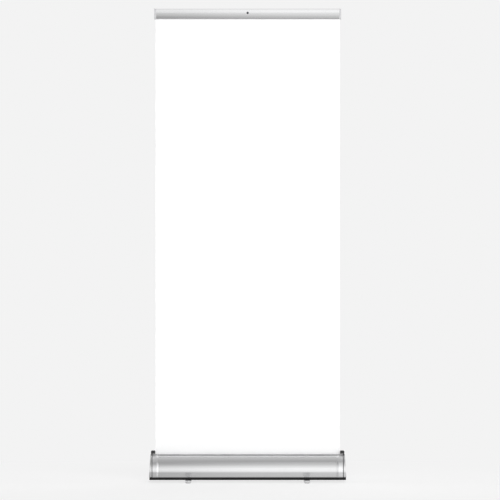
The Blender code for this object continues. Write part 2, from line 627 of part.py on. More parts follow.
# ---- feet --------------------------------------------------------------------
for label, sign in (("left", -1), ("right", 1)):
    x = sign * FOOT_X
    bar = extruded(label + "_foot_bar", stadium(FOOT_HALF, FOOT_W / 2, 8), FOOT_Z[0], FOOT_Z[1], along="Z")
    bar.location.x = x * MM
    bevel(bar, 1.5, 2, 50)
    boolean(bar, rod(label + "_foot_hole", 4.4, (x, 0, -2), 14, coll=CUTTERS, sides=16))
    boolean(bar, rod(label + "_foot_seat", 7.9, (x, 0, -2), 7.6, coll=CUTTERS, sides=20))
    paint(smooth(bar, 40), ALUMINIUM)
    for where, y in (("front", -142.0), ("rear", 142.0)):
        pad = extruded("%s_foot_%s_pad" % (label, where), stadium(20.0, 10.5, 6), 0.0, 2.0, along="Z")
        pad.location.x = x * MM
        pad.location.y = y * MM
        bevel(pad, 0.5, 1, 50)
        paint(smooth(pad, 40), RUBBER)
    bolt = turned(label + "_foot_bolt", [(0.0, 31.0), (3.4, 31.0), (4.0, 30.4), (4.0, 5.3), (7.5, 5.3), (7.5, 3.6),
                                         (6.8, 2.9), (0.0, 2.9)], (x, 0, 0), steps=18)
    boolean(bolt, rod(label + "_bolt_key", 2.6, (x, 0, 1.0), 3.5, sides=6, coll=CUTTERS))
    paint(bolt, STEEL)
    foot_nut = rod(label + "_foot_nut", 7.2, (x, 0, 24.5), 5.0, sides=6)
    boolean(foot_nut, rod(label + "_nut_thread", 4.3, (x, 0, 20), 14, coll=CUTTERS, sides=16))
    paint(foot_nut, STEEL)

# ---- moving groups, each on an empty at its joint ----------------------------
GROUPS = {
    "roller_axis": ((0, ROLLER_Y, ROLLER_Z), None,
                    ["roller_tube", "left_roller_plug", "right_roller_plug", "winding_spring", "banner_roll"]),
    "rail_carriage": ((0, 0, RAIL_BOTTOM), None,
                      ["rail_profile", "left_rail_cap", "right_rail_cap", "banner_keeper", "banner_sheet",
                       "pole_catch", "catch_screw", "catch_nut"]),
    "pole_middle_carriage": ((0, POLE_Y, MIDDLE_Z[0]), None, ["pole_middle_tube", "middle_bush"]),
    "pole_top_carriage": ((0, POLE_Y, TOP_Z[0]), "pole_middle_carriage", ["pole_top_tube", "top_bush", "pole_tip"]),
    "lower_lock_axis": ((0, POLE_Y, 744.0), None, ["lower_lock_collar"]),
    "upper_lock_axis": ((0, POLE_Y, 1420.0), "pole_middle_carriage", ["upper_lock_collar"]),
    "left_foot_pivot": ((-FOOT_X, 0, FOOT_Z[1]), None,
                        ["left_foot_bar", "left_foot_front_pad", "left_foot_rear_pad"]),
    "right_foot_pivot": ((FOOT_X, 0, FOOT_Z[1]), None,
                         ["right_foot_bar", "right_foot_front_pad", "right_foot_rear_pad"]),
}
for group, (at, parent, members) in GROUPS.items():
    empty = bpy.data.objects.new(group, None)
    empty.empty_display_size = 0.03
    PARTS.objects.link(empty)
    here = Vector(at) * MM
    empty.location = here
    if parent:
        empty.parent = bpy.data.objects[parent]
        empty.location = here - Vector(GROUPS[parent][0]) * MM
    for name in members:
        piece = bpy.data.objects[name]
        piece.parent = empty
        piece.location = piece.location - here
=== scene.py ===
"""Looks of the roll-up banner stand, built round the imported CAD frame."""
import json
import math
import bmesh
import bpy
from mathutils import Matrix, Vector, noise

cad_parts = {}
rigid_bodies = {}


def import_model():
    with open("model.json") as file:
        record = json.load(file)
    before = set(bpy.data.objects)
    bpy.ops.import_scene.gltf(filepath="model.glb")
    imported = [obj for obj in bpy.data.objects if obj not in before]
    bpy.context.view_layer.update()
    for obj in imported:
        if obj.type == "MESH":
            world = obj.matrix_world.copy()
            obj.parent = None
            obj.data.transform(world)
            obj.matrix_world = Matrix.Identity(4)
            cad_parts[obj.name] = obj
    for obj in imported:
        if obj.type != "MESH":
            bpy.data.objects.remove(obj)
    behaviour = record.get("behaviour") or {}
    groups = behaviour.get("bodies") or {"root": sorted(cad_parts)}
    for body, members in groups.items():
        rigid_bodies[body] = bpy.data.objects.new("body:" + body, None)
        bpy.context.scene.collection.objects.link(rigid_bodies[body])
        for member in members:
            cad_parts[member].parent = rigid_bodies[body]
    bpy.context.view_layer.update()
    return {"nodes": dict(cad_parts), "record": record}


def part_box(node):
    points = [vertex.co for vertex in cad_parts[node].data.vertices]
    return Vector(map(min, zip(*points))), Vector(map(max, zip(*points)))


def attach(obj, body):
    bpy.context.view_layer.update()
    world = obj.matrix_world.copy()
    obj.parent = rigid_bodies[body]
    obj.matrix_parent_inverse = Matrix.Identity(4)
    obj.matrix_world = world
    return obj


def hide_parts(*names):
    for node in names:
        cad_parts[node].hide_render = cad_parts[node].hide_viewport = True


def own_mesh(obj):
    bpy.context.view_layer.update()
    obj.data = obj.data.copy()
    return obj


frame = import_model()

MM = 0.001
SCENE = bpy.context.scene


def mm_box(node):
    """A CAD node's lowest and highest corners, in millimetres."""
    lo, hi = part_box(node)
    return lo / MM, hi / MM


# ---- sizes read from the frame (mm) -------------------------------------------
SHEET_LO, SHEET_HI = mm_box("banner_sheet")
SHELL_LO, SHELL_HI = mm_box("base_shell")
COLLAR_LO, COLLAR_HI = mm_box("right_collar")
PLATE_LO, PLATE_HI = mm_box("right_end_plate")
CAP_LO, CAP_HI = mm_box("right_end_cap")
RAIL_LO, RAIL_HI = mm_box("rail_profile")
RCAP_LO, RCAP_HI = mm_box("right_rail_cap")
LOWER_LO, LOWER_HI = mm_box("pole_lower_tube")
MIDDLE_LO, MIDDLE_HI = mm_box("pole_middle_tube")
TOP_LO, TOP_HI = mm_box("pole_top_tube")
SCREW_LO, SCREW_HI = mm_box("catch_screw")
ROLL_LO, ROLL_HI = mm_box("banner_roll")
FOOT_LO, FOOT_HI = mm_box("right_foot_bar")

BANNER_Y = (SHEET_LO.y + SHEET_HI.y) / 2
SHELL_TOP = SHELL_HI.z
SHELL_BOTTOM = SHELL_LO.z
BELLY_HALF = -SHELL_LO.y
BELLY_HALF_REAR = SHELL_HI.y
BELLY_Z = 52.0
CREASE_Z = 45.5
SLOT_HALF = 9.0
PLATE_BOTTOM = PLATE_LO.z
POLE_Y = (LOWER_LO.y + LOWER_HI.y) / 2
ROLLER_Y = (ROLL_LO.y + ROLL_HI.y) / 2
ROLLER_Z = (ROLL_LO.z + ROLL_HI.z) / 2
RAIL_BOTTOM, RAIL_TOP = RAIL_LO.z, RAIL_HI.z
RAIL_FRONT, RAIL_REAR = -RAIL_LO.y, RAIL_HI.y
RAIL_FLAT_Z = RAIL_BOTTOM + 35.0
CATCH_Z = (SCREW_LO.z + SCREW_HI.z) / 2
FOOT_X = (FOOT_LO.x + FOOT_HI.x) / 2
GAP = 0.3


# ---- mesh helpers -------------------------------------------------------------
WORK = bpy.data.collections.new("work")
SCENE.collection.children.link(WORK)


def mesh_object(name, bm):
    me = bpy.data.meshes.new(name)
    bm.to_mesh(me)
    bm.free()
    ob = bpy.data.objects.new(name, me)
    WORK.objects.link(ob)
    return ob


def bevel(ob, width, segments=3, angle=40.0):
    mod = ob.modifiers.new("edge_round", "BEVEL")
    mod.width = width * MM
    mod.segments = segments
    mod.limit_method = "ANGLE"
    mod.angle_limit = math.radians(angle)
    mod.harden_normals = False
    return ob


def box(name, lo, hi, round_edges=0.0, segments=3):
    lo, hi = Vector(lo), Vector(hi)
    bm = bmesh.new()
    bmesh.ops.create_cube(bm, size=1.0)
    bmesh.ops.scale(bm, vec=(hi - lo) * MM, verts=bm.verts)
    ob = mesh_object(name, bm)
    ob.location = (lo + hi) / 2 * MM
    if round_edges:
        bevel(ob, round_edges, segments)
    return ob


TURN = {"Z": (0.0, 0.0, 0.0), "X": (0.0, math.pi / 2, 0.0), "-X": (0.0, -math.pi / 2, 0.0),
        "Y": (-math.pi / 2, 0.0, 0.0), "-Y": (math.pi / 2, 0.0, 0.0), "-Z": (math.pi, 0.0, 0.0)}


def rod(name, radius, start, length, axis="Z", sides=48):
    bm = bmesh.new()
    bmesh.ops.create_cone(bm, cap_ends=True, segments=sides, radius1=radius * MM,
                          radius2=radius * MM, depth=length * MM)
    bmesh.ops.translate(bm, verts=bm.verts, vec=(0, 0, length / 2 * MM))
    ob = mesh_object(name, bm)
    ob.location = Vector(start) * MM
    ob.rotation_euler = TURN[axis]
    return ob


def turned(name, profile, at, axis="Z", steps=64, ring=False):
    """A turned piece. The (radius, height) points run down the outer side."""
    bm = bmesh.new()
    verts = [bm.verts.new((r * MM, 0.0, h * MM)) for r, h in profile]
    for a, b in zip(verts, verts[1:]):
        bm.edges.new((a, b))
    if ring:
        bm.edges.new((verts[-1], verts[0]))
    ob = mesh_object(name, bm)
    ob.location = Vector(at) * MM
    ob.rotation_euler = TURN[axis]
    mod = ob.modifiers.new("turn", "SCREW")
    mod.axis = "Z"
    mod.angle = 2 * math.pi
    mod.steps = steps
    mod.render_steps = steps
    mod.use_merge_vertices = True
    mod.merge_threshold = 0.00001
    mod.use_smooth_shade = True
    return ob


def curve_mesh(ob):
    """The curve's solid as a welded mesh in the curve's place."""
    bpy.context.view_layer.update()
    me = bpy.data.meshes.new_from_object(ob.evaluated_get(bpy.context.evaluated_depsgraph_get()))
    bm = bmesh.new()
    bm.from_mesh(me)
    bmesh.ops.remove_doubles(bm, verts=bm.verts, dist=1e-6)
    bmesh.ops.recalc_face_normals(bm, faces=bm.faces)
    bm.to_mesh(me)
    bm.free()
    me.materials.clear()
    new = bpy.data.objects.new("solid", me)
    WORK.objects.link(new)
    new.matrix_world = ob.matrix_world.copy()
    name = ob.name
    bpy.data.objects.remove(ob, do_unlink=True)
    new.name = name
    return new


FACE = {"X": (math.pi / 2, 0.0, math.pi / 2), "Y": (math.pi / 2, 0.0, 0.0), "Z": (0.0, 0.0, 0.0)}


def extruded(name, outline, lo, hi, along="X", holes=()):
    """A flat outline drawn out from lo to hi: (y, z) along X, (x, z) along Y, (x, y) along Z."""
    cu = bpy.data.curves.new(name, "CURVE")
    cu.dimensions = "2D"
    cu.fill_mode = "BOTH"
    cu.extrude = (hi - lo) / 2 * MM
    for loop in [outline, *holes]:
        spline = cu.splines.new("POLY")
        spline.points.add(len(loop) - 1)
        for point, (a, b) in zip(spline.points, loop):
            point.co = (a * MM, b * MM, 0.0, 1.0)
        spline.use_cyclic_u = True
    ob = bpy.data.objects.new(name, cu)
    SCENE.collection.objects.link(ob)
    centre = (lo + hi) / 2 * MM
    ob.location = {"X": (centre, 0, 0), "Y": (0, centre, 0), "Z": (0, 0, centre)}[along]
    # a 2D curve's second axis points up, so an outline along Y faces -Y
    ob.rotation_euler = FACE[along]
    return curve_mesh(ob)


def skin(name, sections, wall):
    """Profiles of equal length at several x, joined by quads and given a wall inwards."""
    bm = bmesh.new()
    rows = [[bm.verts.new((x * MM, y * MM, z * MM)) for y, z in section] for x, section in sections]
    for a, b in zip(rows, rows[1:]):
        for i in range(len(a) - 1):
            bm.faces.new((a[i], a[i + 1], b[i + 1], b[i]))
    bm.normal_update()
    ys = [v.co.y for v in bm.verts]
    zs = [v.co.z for v in bm.verts]
    middle = Vector((0, (min(ys) + max(ys)) / 2, (min(zs) + max(zs)) / 2))
    score = 0.0
    for f in bm.faces:
        away = f.calc_center_median() - middle
        away.x = 0.0
        score += f.normal.dot(away) * f.calc_area()
    if score < 0:
        bmesh.ops.reverse_faces(bm, faces=bm.faces)
    ob = mesh_object(name, bm)
    mod = ob.modifiers.new("wall", "SOLIDIFY")
    mod.thickness = wall * MM
    mod.offset = -1.0
    mod.use_even_offset = True
    mod.use_quality_normals = True
    return ob


def boolean(ob, other, operation="DIFFERENCE"):
    mod = ob.modifiers.new("cut", "BOOLEAN")
    mod.operation = operation
    mod.object = other
    mod.solver = "EXACT"
    other["cutter"] = True
    other.hide_render = True
    return ob


def settle(ob, angle=30.0):
    """Applies the modifiers and the placing, and shades the result smooth between sharp edges."""
    bpy.context.view_layer.update()
    me = bpy.data.meshes.new_from_object(ob.evaluated_get(bpy.context.evaluated_depsgraph_get()))
    me.transform(ob.matrix_world)
    bm = bmesh.new()
    bm.from_mesh(me)
    bmesh.ops.remove_doubles(bm, verts=bm.verts, dist=2e-7)
    bm.to_mesh(me)
    bm.free()
    me.materials.clear()
    name = ob.name
    old = ob.data
    new = bpy.data.objects.new("settled", me)
    SCENE.collection.objects.link(new)
    bpy.data.objects.remove(ob, do_unlink=True)
    if old.users == 0:
        bpy.data.meshes.remove(old)
    new.name = name
    me.name = name
    me.shade_smooth()
    me.set_sharp_from_angle(angle=math.radians(angle))
    return new


def place(ob, body, mat, slot, *nodes, angle=30.0):
    """Settles a piece, lets it ride on its body, and stands it for its CAD nodes."""
    ob = settle(ob, angle)
    ob.data.materials.append(mat)
    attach(ob, body)
    if nodes:
        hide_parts(*nodes)
    return ob


def stadium(half_length, half_width, count=16):
    pts = []
    for i in range(count + 1):
        t = math.pi * i / count
        pts.append((half_width * math.cos(t), half_length - half_width + half_width * math.sin(t)))
    for i in range(count + 1):
        t = math.pi + math.pi * i / count
        pts.append((half_width * math.cos(t), -(half_length - half_width) + half_width * math.sin(t)))
    return pts


# ---- materials ----------------------------------------------------------------
class Shader:
    """A Principled material with small helpers for its texture nodes."""

    def __init__(self, name):
        self.mat = bpy.data.materials.new(name)
        self.mat.use_nodes = True
        self.tree = self.mat.node_tree
        self.bsdf = self.tree.nodes["Principled BSDF"]
        self.coord = self.tree.nodes.new("ShaderNodeTexCoord").outputs["Object"]
        self.height = None

    def link(self, a, b):
        self.tree.links.new(a, b)

    def const(self, **values):
        for key, value in values.items():
            self.bsdf.inputs[key.replace("_", " ")].default_value = value
        return self

    def scaled(self, scale, turn=(0.0, 0.0, 0.0)):
        node = self.tree.nodes.new("ShaderNodeMapping")
        node.inputs["Scale"].default_value = scale
        node.inputs["Rotation"].default_value = turn
        self.link(self.coord, node.inputs["Vector"])
        return node.outputs["Vector"]

    def noise(self, scale, detail=3.0, rough=0.55, distort=0.0, turn=(0.0, 0.0, 0.0)):
        node = self.tree.nodes.new("ShaderNodeTexNoise")
        node.inputs["Scale"].default_value = 1.0
        node.inputs["Detail"].default_value = detail
        node.inputs["Roughness"].default_value = rough
        node.inputs["Distortion"].default_value = distort
        self.link(self.scaled(scale, turn), node.inputs["Vector"])
        return node.outputs["Fac"]

    def cells(self, scale, feature="F1"):
        node = self.tree.nodes.new("ShaderNodeTexVoronoi")
        node.feature = feature
        node.inputs["Scale"].default_value = 1.0
        self.link(self.scaled(scale), node.inputs["Vector"])
        return node.outputs["Distance"]

    def waves(self, scale, axis, distort=0.0):
        node = self.tree.nodes.new("ShaderNodeTexWave")
        node.wave_type = "BANDS"
        node.bands_direction = axis
        node.inputs["Scale"].default_value = scale
        node.inputs["Distortion"].default_value = distort
        node.inputs["Detail"].default_value = 1.0
        self.link(self.coord, node.inputs["Vector"])
        return node.outputs["Fac"]

    def span(self, value, lo, hi, a=0.0, b=1.0):
        node = self.tree.nodes.new("ShaderNodeMapRange")
        node.inputs["From Min"].default_value = lo
        node.inputs["From Max"].default_value = hi
        node.inputs["To Min"].default_value = a
        node.inputs["To Max"].default_value = b
        self.link(value, node.inputs["Value"])
        return node.outputs["Result"]

    def math(self, op, a, b=None):
        node = self.tree.nodes.new("ShaderNodeMath")
        node.operation = op
        for socket, value in zip(node.inputs, (a, b)):
            if value is None:
                continue
            if isinstance(value, (int, float)):
                socket.default_value = value
            else:
                self.link(value, socket)
        return node.outputs[0]

    def mix(self, factor, a, b):
        node = self.tree.nodes.new("ShaderNodeMix")
        node.data_type = "RGBA"
        self.link(factor, node.inputs["Factor"])
        for socket, value in ((node.inputs[6], a), (node.inputs[7], b)):
            if isinstance(value, tuple):
                socket.default_value = (*value, 1.0)
            else:
                self.link(value, socket)
        return node.outputs[2]

    def colour(self, value):
        self.link(value, self.bsdf.inputs["Base Color"])
        return self

    def roughness(self, value):
        self.link(value, self.bsdf.inputs["Roughness"])
        return self

    def bump(self, value, depth, strength=1.0):
        node = self.tree.nodes.new("ShaderNodeBump")
        node.inputs["Strength"].default_value = strength
        node.inputs["Distance"].default_value = depth
        self.link(value, node.inputs["Height"])
        if self.height is not None:
            self.link(self.height, node.inputs["Normal"])
        self.height = node.outputs["Normal"]
        self.link(self.height, self.bsdf.inputs["Normal"])
        return self


GRAIN = {"X": (5.0, 2600.0, 2600.0), "Y": (2600.0, 5.0, 2600.0), "Z": (2600.0, 2600.0, 5.0)}
DRAWN = {"X": (1.2, 260.0, 260.0), "Y": (260.0, 1.2, 260.0), "Z": (260.0, 260.0, 1.2)}


def anodised(name, along, tone=0.70, rough=(0.13, 0.20)):
    """Satin anodised aluminium: fine drawn lines along the extrusion, a few wider die
    lines, faint handling smudges and small dull scuffs."""
    s = Shader(name).const(Metallic=1.0, IOR=1.5, Anisotropic=0.0)
    fine = s.noise(GRAIN[along], detail=4.0, rough=0.6)
    die = s.noise(DRAWN[along], detail=2.0, rough=0.5)
    smudge = s.noise((9.0, 9.0, 9.0), detail=4.0, rough=0.6, distort=0.6)
    scuff = s.noise((260.0, 90.0, 260.0), detail=5.0, rough=0.7, distort=1.4)
    lines = s.math("ADD", s.math("MULTIPLY", fine, 0.65), s.math("MULTIPLY", die, 0.35))
    s.colour(s.mix(s.span(lines, 0.32, 0.68), (tone - 0.035, tone - 0.033, tone - 0.028),
                   (tone + 0.03, tone + 0.032, tone + 0.036)))
    r = s.span(lines, 0.3, 0.7, rough[0], rough[1])
    r = s.math("ADD", r, s.span(smudge, 0.50, 0.75, 0.0, 0.05))
    r = s.math("ADD", r, s.span(scuff, 0.66, 0.74, 0.0, 0.09))
    s.roughness(r)
    s.bump(fine, 0.000003, 0.4).bump(die, 0.000006, 0.3)
    return s.mat


def polished(name):
    """Bright polished sleeve with faint buffing swirls."""
    s = Shader(name).const(Metallic=1.0, IOR=1.5, Anisotropic=0.0)
    swirl = s.noise((420.0, 420.0, 420.0), detail=5.0, rough=0.65, distort=2.0)
    haze = s.noise((14.0, 14.0, 14.0), detail=3.0)
    s.colour(s.mix(s.span(haze, 0.35, 0.7), (0.76, 0.765, 0.775), (0.82, 0.82, 0.825)))
    s.roughness(s.math("ADD", s.span(swirl, 0.4, 0.75, 0.11, 0.19), s.span(haze, 0.5, 0.75, 0.0, 0.04)))
    s.bump(swirl, 0.000008, 0.5)
    return s.mat


def zinc(name, tone=0.60, rough=(0.22, 0.38)):
    """Bright zinc plate: a cloudy mottle and a fine cell pattern in the roughness."""
    s = Shader(name).const(Metallic=1.0, IOR=1.5)
    mottle = s.noise((700.0, 700.0, 700.0), detail=4.0, distort=0.8)
    patch = s.cells((1100.0, 1100.0, 1100.0))
    s.colour(s.mix(s.span(mottle, 0.35, 0.7), (tone - 0.08, tone - 0.075, tone - 0.06), (tone + 0.05, tone + 0.052, tone + 0.06)))
    s.roughness(s.span(s.math("ADD", s.math("MULTIPLY", mottle, 0.7), s.math("MULTIPLY", patch, 0.3)), 0.3, 0.7, *rough))
    s.bump(mottle, 0.00002, 0.4)
    return s.mat


def moulded(name, tone, rough=(0.36, 0.52), grain=2400.0, depth=0.00004, metallic=0.0):
    """Moulded plastic with a fine spark-eroded grain, slightly shinier where it is handled."""
    s = Shader(name).const(Metallic=metallic, IOR=1.49)
    pebble = s.cells((grain, grain, grain), "SMOOTH_F1")
    fine = s.noise((grain * 1.7, grain * 1.7, grain * 1.7), detail=3.0)
    rub = s.noise((30.0, 30.0, 30.0), detail=4.0, rough=0.6)
    lift = (tone * 1.5 + 0.006,) * 3
    s.colour(s.mix(s.span(s.math("ADD", s.math("MULTIPLY", rub, 0.6), s.math("MULTIPLY", fine, 0.4)), 0.38, 0.7),
                   (tone, tone, tone * 1.04), lift))
    s.roughness(s.math("SUBTRACT", s.span(fine, 0.3, 0.7, *rough), s.span(rub, 0.52, 0.72, 0.0, 0.08)))
    s.bump(pebble, depth, 0.6).bump(fine, depth * 0.5, 0.5)
    return s.mat


def rubber(name):
    s = Shader(name).const(Metallic=0.0, IOR=1.5)
    dust = s.noise((160.0, 160.0, 160.0), detail=5.0, rough=0.7)
    grain = s.noise((3200.0, 3200.0, 3200.0), detail=2.0)
    s.colour(s.mix(s.span(dust, 0.5, 0.75), (0.012, 0.012, 0.012), (0.055, 0.053, 0.05)))
    s.roughness(s.span(grain, 0.3, 0.7, 0.72, 0.92))
    s.bump(grain, 0.00006, 0.6)
    return s.mat


def film(name):
    """Matt white coated banner film: a very fine canvas of crossed threads under the
    coating, a barely uneven coat, and a slight sheen."""
    s = Shader(name).const(Metallic=0.0, IOR=1.45, Specular_IOR_Level=0.35)
    warp = s.waves(900.0, "X")
    weft = s.waves(900.0, "Z")
    weave = s.math("MULTIPLY", warp, weft)
    coat = s.noise((3.0, 3.0, 3.0), detail=3.0, rough=0.5)
    fibre = s.noise((1400.0, 1400.0, 700.0), detail=3.0, rough=0.6)
    s.colour(s.mix(s.span(s.math("ADD", s.math("MULTIPLY", coat, 0.5), s.math("MULTIPLY", fibre, 0.5)), 0.35, 0.65),
                   (0.915, 0.917, 0.92), (0.94, 0.94, 0.94)))
    s.roughness(s.math("ADD", s.span(fibre, 0.3, 0.7, 0.50, 0.60), s.span(weave, 0.0, 1.0, 0.0, 0.04)))
    s.bump(weave, 0.00002, 0.35).bump(fibre, 0.00001, 0.3)
    return s.mat


M_SHELL = anodised("anodised_along_x", "X")
M_RAIL = anodised("anodised_rail", "X", tone=0.72)
M_TUBE = anodised("anodised_tube", "Z", tone=0.68)
M_FOOT = anodised("anodised_foot", "Y", tone=0.76, rough=(0.40, 0.52))
M_CAP = anodised("anodised_end_cap", "Z", tone=0.70, rough=(0.18, 0.26))
M_COLLAR = polished("polished_collar")
M_ZINC = zinc("zinc_plate")
M_SPRING = zinc("spring_steel", tone=0.42, rough=(0.26, 0.42))
M_BLACK = moulded("black_moulded", 0.016)
M_SKIRT = moulded("black_skirt", 0.008, rough=(0.55, 0.70), grain=1500.0)
M_SKIRT.node_tree.nodes["Principled BSDF"].inputs["Specular IOR Level"].default_value = 0.18
M_TRIM = moulded("slot_trim_grey", 0.30, rough=(0.42, 0.56), grain=2600.0, depth=0.00003)
M_RCAP = moulded("rail_cap_grey", 0.47, rough=(0.34, 0.48), grain=2600.0, depth=0.00003)
M_WHITE = moulded("white_strip", 0.70, rough=(0.40, 0.52), grain=2000.0, depth=0.00002)
M_OXIDE = zinc("black_oxide", tone=0.09, rough=(0.30, 0.45))
M_RUBBER = rubber("pad_rubber")
M_FILM = film("banner_film")

SLOT_LOOK = {"aluminium": M_SHELL, "polished": M_COLLAR, "steel": M_ZINC, "black_steel": M_OXIDE,
             "black_plastic": M_BLACK, "grey_plastic": M_TRIM, "white_plastic": M_WHITE, "rubber": M_RUBBER,
             "banner_film": M_FILM}
NODE_SLOT = {row["node"]: row["material_slot"] for row in frame["record"]["subparts"]}
for node, ob in frame["nodes"].items():
    look = SLOT_LOOK[NODE_SLOT[node]]
    look = {"winding_spring": M_SPRING, "base_plate": M_SKIRT, "left_rail_cap": M_RCAP, "right_rail_cap": M_RCAP,
            "left_foot_bar": M_FOOT, "right_foot_bar": M_FOOT, "pole_lower_tube": M_TUBE, "pole_middle_tube": M_TUBE,
            "pole_top_tube": M_TUBE, "left_end_cap": M_CAP, "right_end_cap": M_CAP, "rail_profile": M_RAIL}.get(node, look)
    ob.data.materials.clear()
    ob.data.materials.append(look)


# ---- cassette section, finer than the CAD's but on the same curve --------------
def cassette_side(grow, belly, start, count=44):
    inner = 7.0
    half = belly - inner + grow
    high = SHELL_TOP - BELLY_Z + grow
    first = math.asin(max(0.0, (start - inner)) / half)
    pts = []
    for i in range(count + 1):
        t = first + (math.pi / 2 - first) * i / count
        pts.append((inner + half * math.sin(t), BELLY_Z + high * math.cos(t)))
    # a small radius where the face turns in under the belly
    pts += [(belly + grow, CREASE_Z + 1.2), (belly + grow - 0.04, CREASE_Z + 0.5), (belly + grow - 0.2, CREASE_Z - 0.4)]
    return pts


def cassette_path(grow=0.0, bottom=SHELL_BOTTOM, foot_in=6.5, count=44, front_start=SLOT_HALF, rear_start=SLOT_HALF):
    front = cassette_side(grow, BELLY_HALF, front_start, count)
    rear = cassette_side(grow, BELLY_HALF_REAR, rear_start, count)
    low_front = [(BELLY_HALF + grow - 4.5, bottom + 3.6), (BELLY_HALF + grow - 4.75, bottom + 2.4),
                 (BELLY_HALF + grow - foot_in, bottom)]
    low_rear = [(BELLY_HALF_REAR + grow - 4.1, bottom + 3.6), (BELLY_HALF_REAR + grow - 4.35, bottom + 2.4),
                (BELLY_HALF_REAR + grow - foot_in, bottom)]
    path = [(-y, z) for y, z in front + low_front]
    path += [(y, z) for y, z in reversed(rear + low_rear)]
    return path


def cassette_outline(grow=0.0, bottom=PLATE_BOTTOM, count=44):
    front = cassette_side(grow, BELLY_HALF, 7.0, count)
    rear = cassette_side(grow, BELLY_HALF_REAR, 7.0, count)
    front_low = [(BELLY_HALF + grow - 4.4, 25.0), (BELLY_HALF + grow - 5.6, bottom + 1.6), (BELLY_HALF + grow - 7.4, bottom)]
    rear_low = [(BELLY_HALF_REAR + grow - 4.0, 25.0), (BELLY_HALF_REAR + grow - 5.0, bottom + 1.6),
                (BELLY_HALF_REAR + grow - 6.8, bottom)]
    path = [(-y, z) for y, z in front + front_low]
    path += [(y, z) for y, z in reversed(rear + rear_low)]
    return path


# ---- cassette pieces ------------------------------------------------------------
shell_half = SHELL_HI.x
shell = skin("shell", [(-shell_half, cassette_path()), (shell_half, cassette_path())], 1.8)
boolean(shell, rod("cut_socket", 16.0, (0, POLE_Y, 60), 80, sides=64))
for side in (-1, 1):
    boolean(shell, rod("cut_web_bolt", 4.4, (side * FOOT_X, 0, 15), 15, sides=32))
    boolean(shell, rod("cut_web_screw", 2.2, (side * 23.0, POLE_Y, 15), 15, sides=24))
place(shell, "base", M_SHELL, "aluminium", "base_shell", angle=22.0)

# Each slot trim's grey wing lies over the shell. The front wing runs on to 28 mm, down to about z 120, while the rear
# one stops at 16 mm. Past the real trim, this front grey strip is painted shade that stands for the shadow under the
# slot lip.
TRIM_AND_SHADE_REACH = {"front": 28.0, "rear": 16.0}


def over_shell(y, belly, off):
    return 52.0 + 75.0 * math.sqrt(1.0 - ((y - 7.0) / (belly - 7.0)) ** 2) + off


for label, sign, belly in (("front", -1, BELLY_HALF), ("rear", 1, BELLY_HALF_REAR)):
    wing_and_shade_reach = TRIM_AND_SHADE_REACH[label]
    wing_and_shade = [8.6 + (wing_and_shade_reach - 8.6) * i / 20 for i in range(21)]
    pts = [(y, over_shell(y, belly, 0.45)) for y in reversed(wing_and_shade)]
    pts += [(8.2, 126.9), (8.2, 123.7), (11.5, 123.4), (11.5, 121.9), (3.8, 121.9), (3.8, 116.4), (3.5, 116.05),
                     (2.7, 116.05), (2.4, 116.4), (2.4, 126.2), (2.6, 126.9), (3.1, 127.5), (3.9, 127.85), (5.2, 128.0)]
    pts += [(y, over_shell(y, belly, 1.15)) for y in wing_and_shade[:-1]]
    pts += [(wing_and_shade_reach - 0.1, over_shell(wing_and_shade_reach, belly, 1.05)), (wing_and_shade_reach + 0.3, over_shell(wing_and_shade_reach, belly, 0.75))]
    trim_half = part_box("front_slot_trim")[1].x / MM
    piece = extruded(label + "_trim", [(sign * y, z) for y, z in pts], -trim_half, trim_half)
    place(piece, "base", M_TRIM, "grey_plastic", label + "_slot_trim", angle=35.0)

COLLAR_END = COLLAR_HI.x
EAR_OUT = PLATE_HI.x
EAR_TOP = PLATE_HI.z
END_PLATE = (COLLAR_END + GAP, CAP_LO.x - GAP)
CAP_START = CAP_LO.x
STATIONS = [(410.3, 0.6), (414.0, 2.0), (419.0, 3.0), (424.0, 2.1), (431.0, 0.9), (COLLAR_END, 0.5)]


def bead(x):
    """The collar's swell at x, eased between the CAD's stations and never above them."""
    for (a, ga), (b, gb) in zip(STATIONS, STATIONS[1:]):
        if x <= b:
            t = max(0.0, (x - a) / (b - a))
            return ga + (gb - ga) * (t * t * (3 - 2 * t))
    return STATIONS[-1][1]


